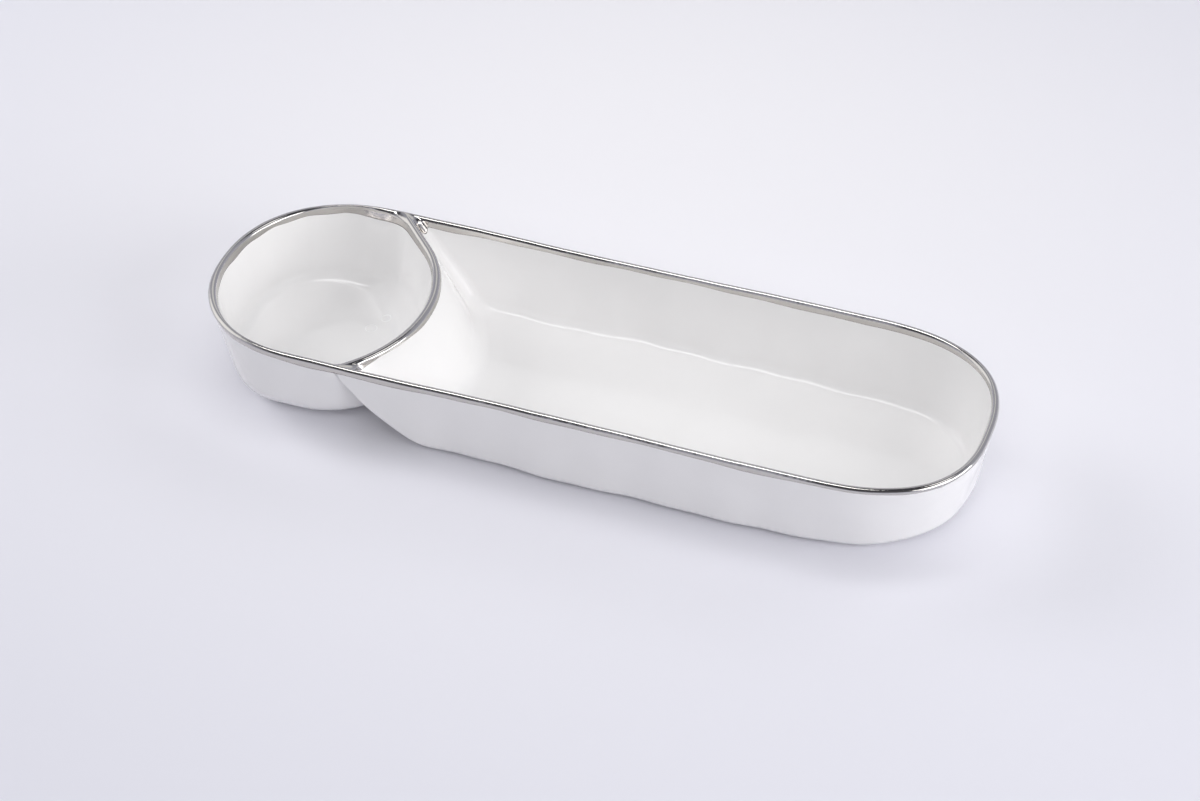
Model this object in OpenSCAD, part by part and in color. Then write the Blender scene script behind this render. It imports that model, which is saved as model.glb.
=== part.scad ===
// Olive dish: a long tray for olives with a cup for the pits at one end.
// Glazed white porcelain, with a metal lustre brushed along every rim.
// X runs along the dish with the cup at -X, Z is up, and the table is Z = 0.

/* [Dish] */
// Length over the rim
dish_l = 302.5; // [270:0.5:340]
// Width over the rim at the tray's shoulder
dish_w = 97.5; // [86:0.5:112]
// Height from the table to the top of the rim
dish_h = 38; // [32:0.5:46]
// How far each long side draws in at mid length
waist = 0.9; // [0:0.1:3]
// How much further each side stands out at the cup end
cup_swell = 0.7; // [0:0.1:2]
// Depth of the hand-formed unevenness along the foot of the walls
uneven = 1; // [0:0.05:1.2]
// How much further the front wall leans in at its foot
front_lean = 0.6; // [0:0.1:1.2]

/* [Rim] */
// Thickness of the outer rim
rim_t = 2.4; // [1.8:0.1:3.4]
// Thickness of the crest between cup and tray
divider_t = 3; // [2.4:0.1:4.4]
// Depth of the luted seam under that crest
seam_h = 4; // [2.5:0.5:6]
// Squareness of the tray's rounded end at the rim, where 2 is an ellipse
tray_square = 2.6; // [2:0.05:3]
// Squareness of the cup's rounded end at the rim outside, back and front
cup_square = [2.25, 2.22]; // [1.9:0.01:3]
// Squareness of that end at the rim inside, back and front
cup_lip_square = [2.02, 1.98]; // [1.8:0.01:2.4]
// Squareness of the tray's end at its base, front and back
tray_base_square = [2.1, 2.5]; // [2:0.05:3]
// Squareness of the cup's end at its base outside, back and front
cup_base_square = [2.1, 1.95]; // [1.8:0.05:3]
// Squareness of the cup's end at its floor, back and front
cup_floor_square = [2.6, 2]; // [1.8:0.05:3]

/* [Tray] */
// Length of the rounded end of the tray at the rim
tray_end_l = 57; // [46:1:66]
// Length of that rounded end at the base, front and back
tray_base_end_l = [69, 61]; // [56:1:80]
// Lean of the long walls outside, in degrees
tray_draft_out = 8; // [5:0.5:9.5]
// Lean of the long walls inside, in degrees
tray_draft_in = 8.5; // [8:0.5:15]
// Rounding of the base edge outside
tray_edge_r = 5; // [3:0.5:7]
// Rounding between wall and floor inside
tray_floor_r = 2.5; // [2:0.5:9]
// Lean of the bow under the divider outside, in degrees
bow_draft_out = 13; // [9:0.5:15]
// Lean of the slope under the divider inside, in degrees
bow_draft_in = 23; // [18:0.5:26]
// Rounding of the bow into the base outside
bow_edge_r = 22; // [14:1:26]
// Rounding of the slope into the floor inside
bow_floor_r = 5; // [4:1:18]
// Corner radius of the bow at the base outside
bow_corner_r = 4; // [2:0.5:7]
// Corner radius of the tray's cavity at the rim, beside the divider
tray_corner_r = 2.4; // [2:0.1:5]
// Corner radius of the tray's cavity at its floor
tray_floor_corner_r = 2.5; // [2:0.5:11]

/* [Cup] */
// Length of the cup, from its outer end to the crest of the divider
cup_l = 87.6; // [78:0.2:98]
// Radius of the divider's curve in plan
divider_r = 54.2; // [50:0.2:60]
// How far the middle of that curve lies towards the front
cup_skew = 7.8; // [4:0.2:10]
// Lean of the cup's wall outside, in degrees
cup_draft_out = 10.5; // [7:0.5:11.5]
// Lean of the cup's end wall inside, in degrees
cup_draft_in = 10; // [10:0.5:16]
// Lean of the cup's side walls inside, in degrees
cup_side_draft_in = 19; // [16:0.5:22]
// How far the cup's floor lies towards the front
cup_floor_shift = 2; // [0:0.25:3]
// Lean of the cup's wall under the divider outside, in degrees
cup_back_draft_out = 13; // [8:0.5:13.5]
// Lean of the cup's wall under the divider inside, in degrees
cup_back_draft_in = 15; // [14.5:0.5:19]
// Rounding of the cup's base edge
cup_edge_r = 12; // [8:0.5:13]
// Rounding between the cup's wall and floor
cup_floor_r = 4; // [3:0.5:9]
// Corner radius of the cup at its base, back and front
cup_base_corner_r = [20, 29]; // [10:0.5:30]
// Corner radius of the cup's cavity, back and front, at the rim
cup_corner_r = [18, 8]; // [4:0.5:20]

/* [Floor and feet] */
// Thickness of the tray's floor
floor_t = 4; // [3:0.25:5.5]
// Thickness of the cup's floor
cup_floor_t = 6.5; // [5:0.25:8]
// Height of the unglazed foot rings
foot_h = 1.5; // [1:0.1:3]
// Width of the foot rings
foot_t = 3; // [2:0.25:4.5]
// Distance of each foot ring from the edge of the flat underside
foot_margin = 4; // [3:0.5:8]

/* [Lustre] */
// Drawn thickness of the lustre film
lustre_t = 0.2; // [0.15:0.05:0.4]
// How far the lustre reaches down below the rim's rounding, at the cup's end and at the tray's
lustre_drop = [2.1, 0.5]; // [0.4:0.1:2.1]
// How far it reaches down the tray's side of the divider
divider_drop = 0.9; // [0.4:0.1:2.1]
// How far the brushed edge wanders, as a share of its reach
lustre_wander = 0.3; // [0:0.05:0.3]

/* [Hidden] */

porcelain = "#f4f3f1";
bisque = "#e6dfd3";
lustre = "#a9a8ac";

// The porcelain inside the lustre
shell_l = dish_l - 2*lustre_t;
shell_w = dish_w - 2*lustre_t;
shell_h = dish_h - lustre_t;
// Heights
lip_z = shell_h - rim_t/2;
seam_z = shell_h - seam_h;
floor_z = foot_h + floor_t;
cup_floor_z = foot_h + cup_floor_t;

// Middle of the divider's curve
cup_x = -shell_l/2 + cup_l - divider_r;
cup_y = -cup_skew;
// How far round the curve runs before it goes on straight to the rim, back and front
back_turn = 45;
front_turn = 44;
// Least angle that is kept for the straight run into a corner
lead_turn = 3;
// Corner radius where the outer rims of cup and tray meet
point_r = 0.4;
// How far past the curve's middle such a corner may turn, as a share of the curve's radius
past_middle = 0.3;
// Straight run between the cup's rounded end and its nearer corner
cup_run = 3;

// Wave lengths of the uneven walls, longest first, and each wave's share of their depth
wave_l = [140, 60, 24];
wave_share = [0.9, 0.58, 0.27];
// Where those waves stand on the back wall, on the front wall and across the ends
back_phase = [50, 70, 40];
front_phase = [63, 73, 156];
end_phase = [347, 30, 0];
// Share of the unevenness that is left at the rim
rim_uneven = 0.12;
// The wander of the lustre's brushed edge, in the same terms
brush_l = [71, 29];
brush_share = [0.65, 0.35];
brush_phase = [100, 75];

// Steps along each stretch of a plan outline
n_end = 24;
n_side = 24;
n_cup_end = 22;
n_cup_side = 3;
n_corner = 6;
n_lead = 2;
n_arc = 18;
n_tray = n_end + 2*n_side + 2*n_corner + 2*n_lead + n_arc;
n_cup = n_cup_end + 2*n_cup_side + 2*n_corner + 2*n_lead + n_arc;
// Steps in each quarter of the rim's rounding
n_rim = 2;

// Shares of the height at which the walls are drawn, from the bottom up
outer_shares = [0, 0.012, 0.045, 0.1, 0.18, 0.28, 0.42, 0.58, 0.76];
inner_shares = [0.78, 0.6, 0.43, 0.29, 0.18, 0.1, 0.045, 0.012, 0];

function mix(a, b, t) = a + (b - a)*t;
function clamp(v, low, high) = min(high, max(low, v));
function flip(list) = [for (i = [len(list) - 1:-1:0]) list[i]];

// Hand-formed plan: a waist, a swell at the cup end and uneven walls
shoulder = shell_l/4;
function sway(s, lengths, shares, phase) =
    shares*[for (i = [0:len(lengths) - 1]) sin(360*s/lengths[i] + phase[i])];
function bulge(s, phase) = uneven*sway(s, wave_l, wave_share, phase);
function side_gain(x) =
    cup_swell*(1 - clamp(x/shoulder, -1, 1))/2 - waist*(1 + cos(180*x/shoulder))/2;
function formed(p) =
    let (across = 2*p[1]/shell_w, along = 2*p[0]/shell_l,
         soft = mix(1, rim_uneven, p[2]/dish_h), ends = bulge(p[1], end_phase),
         back = bulge(p[0], back_phase), front = bulge(p[0], front_phase) - front_lean)
    [p[0] + soft*pow(along, 3)*ends,
     p[1]*(1 + 2*side_gain(p[0])/shell_w) + soft*across*mix(front, back, (1 + across)/2),
     p[2]];

// Plan curves
function arc(c, r, a, b, n) = [for (i = [0:n]) let (t = mix(a, b, i/n)) c + r*[cos(t), sin(t)]];
function between(p, q, n) = [for (i = [1:1:n - 1]) mix(p, q, i/n)];
// A rounded end: its length and its squareness are given for the first half and for the second
function round_end(tip, way, lengths, w, squares, n) =
    [for (i = [0:n]) let (t = mix(-90, 90, i/n), half = t < 0 ? 0 : 1, e = 2/squares[half])
        [tip - way*lengths[half]*(1 - pow(abs(cos(t)), e)), way*w*sign(t)*pow(abs(sin(t)), e)]];

// Where the divider's curve stops turning, for a corner of radius r on one side of it.
// h is the height of the long wall above the curve's middle, and reach the corner's distance from it.
function turn_end(turn, h, r, reach) = min(turn, asin(min(1, (h - r)/reach)) - lead_turn);
function corner_x(h, r, reach, turn) = cup_x + (reach - (h - r)*sin(turn))/cos(turn);

// Outline of the tray: its long walls inset by ins, its end moved off the divider by off
function tray_loop(ins, off, r, squares, end_l) =
    let (w = shell_w/2 - ins, curve_r = divider_r + off, reach = curve_r + r,
         back = turn_end(back_turn, w - cup_y, r, reach),
         front = turn_end(front_turn, w + cup_y, r, reach),
         far = round_end(shell_l/2 - ins, 1, [for (l = end_l) l - ins], w, squares, n_end),
         nook = arc([corner_x(w - cup_y, r, reach, back), w - r], r, 90, 180 + back, n_corner),
         bite = arc([cup_x, cup_y], curve_r, back, -front, n_arc),
         cove = arc([corner_x(w + cup_y, r, reach, front), r - w], r, 180 - front, 270, n_corner))
    concat(far, between(far[n_end], nook[0], n_side), nook, between(nook[n_corner], bite[0], n_lead),
           bite, between(bite[n_arc], cove[0], n_lead), cove, between(cove[n_corner], far[0], n_side));

// The largest corner up to r that fits inside the divider's curve without turning past its middle
function fitted(r, h, curve_r) = min(r, (h + past_middle*curve_r)/(1 + past_middle));

// Outline of the cup: its sides inset by ins, its end by end_ins, its divider side drawn back by off
function cup_loop(ins, end_ins, off, corner_back, corner_front, squares) =
    let (w = shell_w/2 - ins, curve_r = divider_r - off,
         r_back = fitted(corner_back, w - cup_y, curve_r),
         r_front = fitted(corner_front, w + cup_y, curve_r),
         back = turn_end(back_turn, w - cup_y, r_back, curve_r - r_back),
         front = turn_end(front_turn, w + cup_y, r_front, curve_r - r_front),
         x_back = corner_x(w - cup_y, r_back, curve_r - r_back, back),
         x_front = corner_x(w + cup_y, r_front, curve_r - r_front, front),
         x_end = min(x_back, x_front) - cup_run, end_l = x_end + shell_l/2 - end_ins,
         far = round_end(end_ins - shell_l/2, -1, [end_l, end_l], w, squares, n_cup_end),
         cove = arc([x_front, r_front - w], r_front, -90, -front, n_corner),
         belly = arc([cup_x, cup_y], curve_r, -front, back, n_arc),
         nook = arc([x_back, w - r_back], r_back, back, 90, n_corner))
    concat(far, between(far[n_cup_end], cove[0], n_cup_side), cove, between(cove[n_corner], belly[0], n_lead),
           belly, between(belly[n_arc], nook[0], n_lead), nook, between(nook[n_corner], far[0], n_cup_side));

function raised(loop, z, shift = 0) = [for (p = loop) formed([p[0], p[1] + shift, z])];

// How far a leaning wall with a rounded foot has moved in at height z
function rounding(z, low, r) = z < low + r ? r - sqrt(max(0, r*r - pow(low + r - z, 2))) : 0;
function moved_in(z, top, draft, low, r) = max(0, top - z)*tan(draft) + rounding(z, low, r);
function raise_share(z) = clamp(z/lip_z, 0, 1);
function tray_squares(z) = mix(tray_base_square, [tray_square, tray_square], raise_share(z));
function tray_lengths(z) = mix(tray_base_end_l, [tray_end_l, tray_end_l], raise_share(z));

// Walls at height z, grown outwards by the film thickness skin
function tray_outside(z, skin = 0) =
    let (depth = clamp((seam_z - z)/(seam_z - foot_h), 0, 1))
    raised(tray_loop(moved_in(z, lip_z, tray_draft_out, foot_h, tray_edge_r) - skin,
                     moved_in(z, seam_z, bow_draft_out, foot_h, bow_edge_r),
                     mix(point_r, bow_corner_r, depth), tray_squares(z), tray_lengths(z)), z);
function tray_inside(z, skin = 0) =
    let (depth = clamp((lip_z - z)/(lip_z - floor_z), 0, 1))
    raised(tray_loop(rim_t + moved_in(z, lip_z, tray_draft_in, floor_z, tray_floor_r) + skin,
                     divider_t/2 + moved_in(z, lip_z, bow_draft_in, floor_z, bow_floor_r) + skin,
                     mix(tray_corner_r, tray_floor_corner_r, depth) - skin,
                     tray_squares(z), tray_lengths(z)), z);
function cup_outside(z, skin = 0) =
    let (depth = clamp((seam_z - z)/(seam_z - foot_h), 0, 1),
         r = [for (v = cup_base_corner_r) mix(point_r, v, depth)],
         ins = moved_in(z, lip_z, cup_draft_out, foot_h, cup_edge_r) - skin)
    raised(cup_loop(ins, ins, moved_in(z, seam_z, cup_back_draft_out, foot_h, cup_edge_r), r[0], r[1],
                    mix(cup_base_square, cup_square, raise_share(z))), z);
function cup_inside(z, skin = 0) =
    let (depth = clamp((lip_z - z)/(lip_z - cup_floor_z), 0, 1),
         r = mix(cup_corner_r, cup_base_corner_r, depth))
    raised(cup_loop(rim_t + moved_in(z, lip_z, cup_side_draft_in, cup_floor_z, cup_floor_r) + skin,
                    rim_t + moved_in(z, lip_z, cup_draft_in, cup_floor_z, cup_floor_r) + skin,
                    divider_t/2 + moved_in(z, lip_z, cup_back_draft_in, cup_floor_z, cup_floor_r) + skin,
                    r[0] - skin, r[1] - skin, mix(cup_lip_square, cup_floor_square, depth)),
           z, -cup_floor_shift*depth);

// Rounded rim: quarter of it outside the crest, then quarter inside, a is the angle from the crest
function rim_rise(a, skin) = lip_z + (rim_t/2 + skin)*cos(a);
function tray_rim_out(a, skin = 0) =
    raised(tray_loop(rim_t/2 - (rim_t/2 + skin)*sin(a), 0, point_r, tray_squares(lip_z), tray_lengths(lip_z)),
           rim_rise(a, skin));
function tray_rim_in(a, skin = 0) =
    raised(tray_loop(rim_t/2 + (rim_t/2 + skin)*sin(a), (divider_t/2 + skin)*sin(a),
                     mix(point_r, tray_corner_r - skin, sin(a)), tray_squares(lip_z), tray_lengths(lip_z)),
           rim_rise(a, skin));
function cup_rim_out(a, skin = 0) =
    let (ins = rim_t/2 - (rim_t/2 + skin)*sin(a))
    raised(cup_loop(ins, ins, 0, point_r, point_r, cup_square), rim_rise(a, skin));
function cup_rim_in(a, skin = 0) =
    let (ins = rim_t/2 + (rim_t/2 + skin)*sin(a), r = [for (v = cup_corner_r) mix(point_r, v - skin, sin(a))])
    raised(cup_loop(ins, ins, (divider_t/2 + skin)*sin(a), r[0], r[1], mix(cup_square, cup_lip_square, sin(a))),
           rim_rise(a, skin));

// Angles from the crest, going out to in
out_angles = [for (i = [n_rim:-1:0]) 90*i/n_rim];
in_angles = [for (i = [1:n_rim]) 90*i/n_rim];
outer_heights = concat([for (s = outer_shares) mix(foot_h, seam_z, s)], [seam_z]);
function inner_heights(low) = concat([seam_z], [for (s = inner_shares) mix(low, seam_z, s)]);

// Skins between loops of equal length; a ring is a skin that closes on itself
function skin_faces(rows, n, closed) =
    [for (k = [0:rows - (closed ? 1 : 2)], i = [0:n - 1])
        let (a = k*n, b = ((k + 1) % rows)*n, j = (i + 1) % n)
        each [[a + i, b + i, b + j], [a + i, b + j, a + j]]];
function flat(loops) = [for (loop = loops) each loop];
function middle(loop) = [for (i = [0:2]) (min([for (p = loop) p[i]]) + max([for (p = loop) p[i]]))/2];

// A vessel: loops from its underside up over the rim and down to its floor
module vessel(loops, n) {
    last = (len(loops) - 1)*n;
    under = len(loops)*n;
    polyhedron(
        points = concat(flat(loops), [middle(loops[0]), middle(loops[len(loops) - 1])]),
        faces = concat(
            skin_faces(len(loops), n, false),
            [for (i = [0:n - 1]) [under, i, (i + 1) % n]],
            [for (i = [0:n - 1]) [under + 1, last + (i + 1) % n, last + i]]));
}

// A film: its free face, then the face that lies on the porcelain
module film(free, bonded) {
    polyhedron(points = concat(flat(free), flat(flip(bonded))),
               faces = skin_faces(2*len(free), len(free[0]), true));
}

// The brushed edge of the lustre: a share of the way from loop a down to loop b
lip_h = seam_h - rim_t/2;
function reach(x) = mix(lustre_drop[0], lustre_drop[1], x/shell_l + 0.5);
// How much of the edge at step i of the tray's outline belongs to the divider
bite_start = n_end + n_side + n_corner;
function on_divider(i) = sqrt(sin(180*clamp((i - bite_start)/(n_arc + 2*n_lead), 0, 1)));
function brushed(a, b, divider = false) =
    [for (i = [0:len(a) - 1])
        let (wander = lustre_wander*sway(a[i][0] + 1.7*a[i][1], brush_l, brush_share, brush_phase),
             drop = mix(reach(a[i][0]), divider_drop, divider ? on_divider(i) : 0))
        mix(a[i], b[i], drop*(1 + wander)/lip_h)];
// The part of a loop that lies on the outer rim, from its front corner round the end to its back one
function on_rim(loop, n, end, side) = [for (i = [-side:end + side]) loop[(i + n) % n]];
function rim_loop(tray, cup) =
    concat(on_rim(tray, n_tray, n_end, n_side), on_rim(cup, n_cup, n_cup_end, n_cup_side));

module olive_tray() {
    color(porcelain)
    vessel(concat([for (z = outer_heights) tray_outside(z)],
                  [for (a = out_angles) tray_rim_out(a)],
                  [for (a = in_angles) tray_rim_in(a)],
                  [for (z = inner_heights(floor_z)) tray_inside(z)]), n_tray);
}

module pit_cup() {
    color(porcelain)
    vessel(concat([for (z = outer_heights) cup_outside(z)],
                  [for (a = out_angles) cup_rim_out(a)],
                  [for (a = in_angles) cup_rim_in(a)],
                  [for (z = inner_heights(cup_floor_z)) cup_inside(z)]), n_cup);
}

// Edges of the flat undersides, which the foot rings keep inside
tray_flat = tray_outside(foot_h);
cup_flat = cup_outside(foot_h);
tray_foot_x = [max([for (i = [0:n_arc]) tray_flat[n_end + n_side + n_corner + n_lead + i][0]]) + foot_margin,
               max([for (p = tray_flat) p[0]]) - foot_margin];
tray_sides = [for (i = [0:n_side]) each [tray_flat[n_end + i], tray_flat[n_tray - 1 - i]]];
tray_foot_r = min([for (p = tray_sides) abs(p[1])]) - foot_margin;
cup_foot_c = middle(cup_flat);
cup_foot_r = (max([for (p = cup_flat) p[0]]) - min([for (p = cup_flat) p[0]]))/2 - foot_margin;

module slot(r) {
    x = [tray_foot_x[0] + tray_foot_r, tray_foot_x[1] - tray_foot_r];
    translate([x[0], -r]) square([x[1] - x[0], 2*r]);
    for (c = x) translate([c, 0]) circle(r, $fn = 96);
}

module tray_foot_ring() {
    color(bisque)
    linear_extrude(foot_h)
    difference() {
        slot(tray_foot_r);
        slot(tray_foot_r - foot_t);
    }
}

module cup_foot_ring() {
    color(bisque)
    translate([cup_foot_c[0], cup_foot_c[1], 0])
    linear_extrude(foot_h)
    difference() {
        circle(cup_foot_r, $fn = 96);
        circle(cup_foot_r - foot_t, $fn = 96);
    }
}

module rim_band() {
    free = [for (a = out_angles) rim_loop(tray_rim_out(a, lustre_t), cup_rim_out(a, lustre_t))];
    bonded = [for (a = out_angles) rim_loop(tray_rim_out(a), cup_rim_out(a))];
    free_foot = rim_loop(tray_outside(seam_z, lustre_t), cup_outside(seam_z, lustre_t));
    bonded_foot = rim_loop(tray_outside(seam_z), cup_outside(seam_z));
    color(lustre)
    film(concat([brushed(free[0], free_foot)], free), concat([brushed(bonded[0], bonded_foot)], bonded));
}

module tray_lip_band() {
    angles = concat([0], in_angles);
    free = [for (a = angles) tray_rim_in(a, lustre_t)];
    bonded = [for (a = angles) tray_rim_in(a)];
    color(lustre)
    film(concat(free, [brushed(free[n_rim], tray_inside(seam_z, lustre_t), true)]),
         concat(bonded, [brushed(bonded[n_rim], tray_inside(seam_z), true)]));
}

module cup_lip_band() {
    angles = concat([0], in_angles);
    free = [for (a = angles) cup_rim_in(a, lustre_t)];
    bonded = [for (a = angles) cup_rim_in(a)];
    color(lustre)
    film(concat(free, [brushed(free[n_rim], cup_inside(seam_z, lustre_t))]),
         concat(bonded, [brushed(bonded[n_rim], cup_inside(seam_z))]));
}

olive_tray();
pit_cup();
tray_foot_ring();
cup_foot_ring();
rim_band();
tray_lip_band();
cup_lip_band();
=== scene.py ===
import math
from functools import partial

import bmesh
import bpy
import numpy as np
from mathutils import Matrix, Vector


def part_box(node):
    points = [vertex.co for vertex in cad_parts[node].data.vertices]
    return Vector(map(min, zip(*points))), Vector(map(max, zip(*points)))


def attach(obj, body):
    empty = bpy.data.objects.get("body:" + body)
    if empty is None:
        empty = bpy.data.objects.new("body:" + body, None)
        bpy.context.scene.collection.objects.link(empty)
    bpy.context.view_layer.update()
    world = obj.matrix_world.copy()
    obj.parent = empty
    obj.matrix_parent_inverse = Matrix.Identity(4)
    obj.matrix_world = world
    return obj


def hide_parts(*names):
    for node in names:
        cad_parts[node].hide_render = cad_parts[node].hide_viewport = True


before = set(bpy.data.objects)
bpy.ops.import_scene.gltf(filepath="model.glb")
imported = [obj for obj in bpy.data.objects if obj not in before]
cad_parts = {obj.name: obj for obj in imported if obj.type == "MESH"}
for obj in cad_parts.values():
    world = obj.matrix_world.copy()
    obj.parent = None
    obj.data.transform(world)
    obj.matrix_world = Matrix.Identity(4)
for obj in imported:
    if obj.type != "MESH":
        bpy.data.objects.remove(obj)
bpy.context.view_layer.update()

mm = 0.001


def linear(hexColour):
    parts = [int(hexColour[i:i + 2], 16)/255 for i in (1, 3, 5)]
    return tuple(c/12.92 if c <= 0.04045 else ((c + 0.055)/1.055)**2.4 for c in parts) + (1.0,)


# Fills a node's inputs, by order or by name, with sockets, nodes or values
def feed(tree, node, inputs):
    for key, value in (inputs.items() if isinstance(inputs, dict) else enumerate(inputs)):
        if isinstance(value, bpy.types.NodeSocket):
            tree.links.new(value, node.inputs[key])
        elif isinstance(value, bpy.types.Node):
            tree.links.new(value.outputs[0], node.inputs[key])
        else:
            node.inputs[key].default_value = value


# Adds a node with its settings and inputs
def addNode(tree, kind, inputs=(), **settings):
    node = tree.nodes.new(kind)
    for name, value in settings.items():
        setattr(node, name, value)
    feed(tree, node, inputs)
    return node


# Starts a Geometry Nodes tree whose inputs are the named numbers and a material
def newTree(name, numbers):
    tree = bpy.data.node_groups.new(name, "GeometryNodeTree")
    tree.interface.new_socket("Geometry", in_out="OUTPUT", socket_type="NodeSocketGeometry")
    tree.interface.new_socket("Geometry", in_out="INPUT", socket_type="NodeSocketGeometry")
    for label in numbers:
        tree.interface.new_socket(label, in_out="INPUT", socket_type="NodeSocketFloat")
    tree.interface.new_socket("Material", in_out="INPUT", socket_type="NodeSocketMaterial")
    given, result = tree.nodes.new("NodeGroupInput"), tree.nodes.new("NodeGroupOutput")
    return tree, given, result, partial(addNode, tree)


# Ends a tree: smooth shading, real geometry and the material
def endTree(tree, given, result, geometry):
    add = partial(addNode, tree)
    smooth = add("GeometryNodeSetShadeSmooth", {"Geometry": geometry})
    real = add("GeometryNodeRealizeInstances", (smooth,))
    coated = add("GeometryNodeSetMaterial", {"Geometry": real, "Material": given.outputs["Material"]})
    feed(tree, result, (coated,))
    return tree


# Runs a tree on an object with the given inputs and keeps the result as a plain mesh
def applyTree(piece, tree, values):
    modifier = piece.modifiers.new(tree.name, "NODES")
    modifier.node_group = tree
    for item in tree.interface.items_tree:
        if item.in_out == "INPUT" and item.name in values:
            modifier[item.identifier] = values[item.name]
    bpy.context.view_layer.update()
    shaped = bpy.data.meshes.new_from_object(piece.evaluated_get(bpy.context.evaluated_depsgraph_get()))
    piece.modifiers.clear()
    piece.data = shaped
    return piece


# Plan of the dish, in mm, drawn by the same rules as the solid part
dish = dict(length=302.5, width=97.5, height=38.0, film=0.2,
            waist=0.9, swell=0.7, uneven=1.0, frontLean=0.6, rimShare=0.12,
            waveLengths=(140, 60, 24), waveShares=(0.9, 0.58, 0.27),
            backPhase=(50, 70, 40), frontPhase=(63, 73, 156), endPhase=(347, 30, 0),
            dimples=0.35, dimpleSize=17.0, dimpleMiddle=(0.5, 0.5, 0.56), offFoot=5, offRim=8, rimDimples=0.2,
            ripple=0.1, rippleSize=7.0, rippleMiddle=(0.5, 0.5, 0.8), rippleFade=2)
rim = dict(thick=2.4, divider=3.0, seam=4.0)
floor = dict(thick=4.0, cupThick=6.5, footHeight=1.5)

shellL = dish["length"] - 2*dish["film"]
shellW = dish["width"] - 2*dish["film"]
shellH = dish["height"] - dish["film"]
lipZ = shellH - rim["thick"]/2
seamZ = shellH - rim["seam"]
footZ = floor["footHeight"]
floorZ = footZ + floor["thick"]
cupFloorZ = footZ + floor["cupThick"]
lipH = lipZ - seamZ

# Pairs are front and back for the tray's end, back and front for the cup;
# the cup's floorR is for its sides, its end and the divider
tray = dict(endL=(57, 57), baseEndL=(69, 61), square=(2.6, 2.6), baseSquare=(2.1, 2.5),
            draftOut=8, draftIn=8.5, edgeR=5, floorR=2.5,
            bowDraftOut=13, bowDraftIn=23, bowEdgeR=22, bowFloorR=5, bowCornerR=4,
            cornerR=2.4, floorCornerR=5,
            creaseWaves=((140, 0.45, 47), (60, 0.17, 11), (24, 0.26, 36)), creaseFade=3, creaseSide=2)
cup = dict(length=87.6, dividerR=54.2, skew=7.8, square=(2.25, 2.22), lipSquare=(2.02, 1.98),
           baseSquare=(2.1, 1.95), floorSquare=(2.6, 2.0),
           draftOut=10.5, draftIn=10, sideDraftIn=19, floorShift=2, backDraftOut=13, backDraftIn=15,
           edgeR=12, floorR=(4, 4, 9), baseCornerR=(20, 29), cornerR=(18, 8),
           backTurn=45, frontTurn=44, leadTurn=3, pastMiddle=0.3, run=3)
# Counts of points and rows; the powers bunch a wall's rows near its foot, and weld is in mm
steps = dict(end=72, side=120, cupEnd=110, cupSide=4, corner=16, lead=8, arc=200,
             roll=18, wall=22, outerBunch=2, innerBunch=2.4, lip=5, base=14, weld=0.002)

cupX = -shellL/2 + cup["length"] - cup["dividerR"]
cupY = -cup["skew"]


def mix(a, b, t):
    return a + (b - a)*t


def mixPair(a, b, t):
    return [mix(p, q, t) for p, q in zip(a, b)]


def share(v):
    return min(1.0, max(0.0, v))


def arcPoints(centre, radius, start, stop, count):
    turn = np.radians(np.linspace(start, stop, count + 1))
    return np.asarray(centre) + radius*np.stack([np.cos(turn), np.sin(turn)], 1)


def straightRun(a, b, count):
    return a + (b - a)*np.arange(1, count)[:, None]/count


# Two quarters of superellipses that share a tip, with their points spread evenly
def roundEnd(tip, way, lengths, half, squares, count):
    u = np.linspace(-1, 1, count + 1)
    length, square = np.where(u < 0, lengths[0], lengths[1]), np.where(u < 0, squares[0], squares[1])
    s = np.abs(u)**(square/2)
    turn = np.sign(u)*s/(s + (1 - np.abs(u))**(square/2))*math.pi/2
    return np.stack([tip - way*length*(1 - np.abs(np.cos(turn))**(2/square)),
                     way*half*np.sign(turn)*np.abs(np.sin(turn))**(2/square)], 1)


def turnEnd(turn, height, r, reach):
    return min(turn, math.degrees(math.asin(min(1.0, (height - r)/reach))) - cup["leadTurn"])


def cornerX(height, r, reach, turn):
    angle = math.radians(turn)
    return cupX + (reach - (height - r)*math.sin(angle))/math.cos(angle)


# Outline of the tray: long walls inset by ins, its near end moved off the divider by off
def trayLoop(ins, off, r, squares, lengths):
    half, curveR = shellW/2 - ins, cup["dividerR"] + off
    reach = curveR + r
    back = turnEnd(cup["backTurn"], half - cupY, r, reach)
    front = turnEnd(cup["frontTurn"], half + cupY, r, reach)
    far = roundEnd(shellL/2 - ins, 1, [v - ins for v in lengths], half, squares, steps["end"])
    nook = arcPoints((cornerX(half - cupY, r, reach, back), half - r), r, 90, 180 + back, steps["corner"])
    bite = arcPoints((cupX, cupY), curveR, back, -front, steps["arc"])
    cove = arcPoints((cornerX(half + cupY, r, reach, front), r - half), r, 180 - front, 270, steps["corner"])
    return np.concatenate([far, straightRun(far[-1], nook[0], steps["side"]), nook,
                           straightRun(nook[-1], bite[0], steps["lead"]), bite,
                           straightRun(bite[-1], cove[0], steps["lead"]), cove,
                           straightRun(cove[-1], far[0], steps["side"])])


def fitted(r, height, curveR):
    return min(r, (height + cup["pastMiddle"]*curveR)/(1 + cup["pastMiddle"]))


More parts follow.
